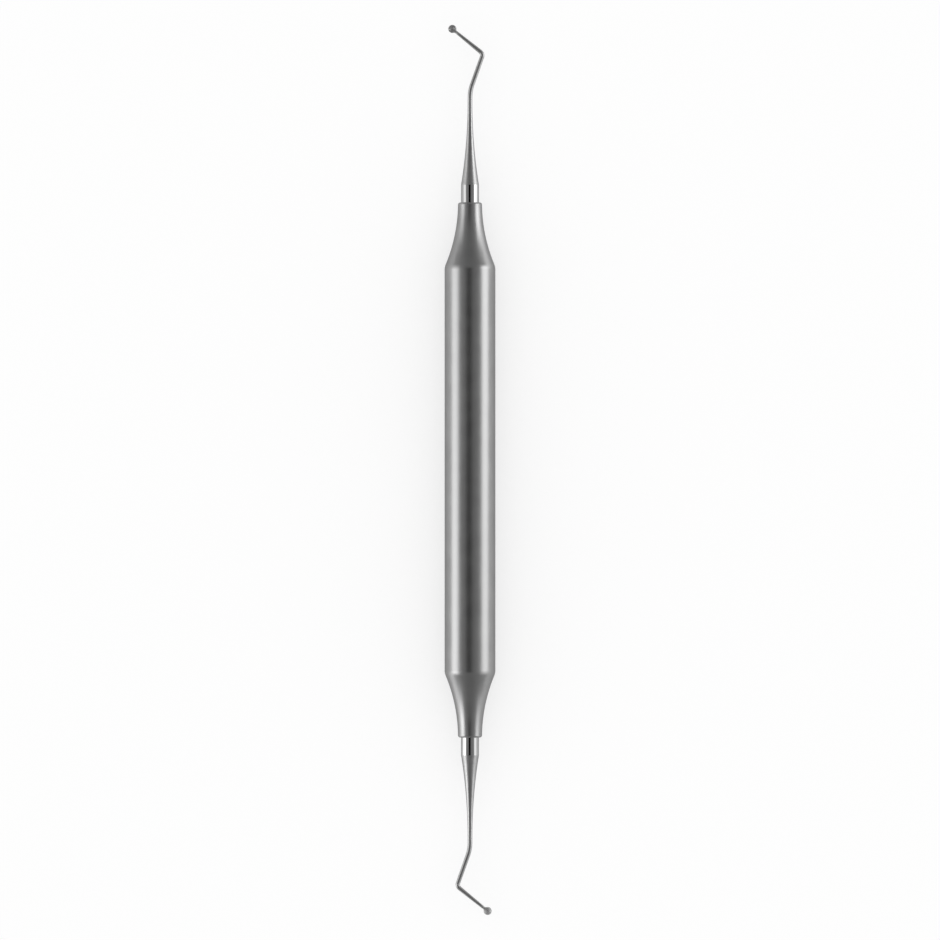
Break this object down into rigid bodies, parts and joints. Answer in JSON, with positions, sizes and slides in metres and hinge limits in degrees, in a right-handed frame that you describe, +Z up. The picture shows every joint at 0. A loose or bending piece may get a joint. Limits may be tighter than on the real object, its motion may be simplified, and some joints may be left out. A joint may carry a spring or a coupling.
{
  "type": "spoon excavator",
  "caption": "Dental spoon excavator: round hollow handle with concave tapered noses and, at each end, a polished bent shank that ends in a small round spoon.",
  "frame": {"origin": "on the surface that the instrument lies on, straight below the middle of the handle", "axes": "+Y along the handle towards the working end whose spoon faces up, +Z up; both bends lie in the horizontal plane through the handle's axis"},
  "size_m": [0.0094, 0.1664, 0.0095],
  "materials": {
    "satin_steel": "satin, fine bead-blasted",
    "polished_steel": "mirror polished"
  },
  "bodies": {
    "root": {"handle": "satin_steel", "up_facing_working_end": "polished_steel", "down_facing_working_end": "polished_steel"}
  },
  "joints": []
}
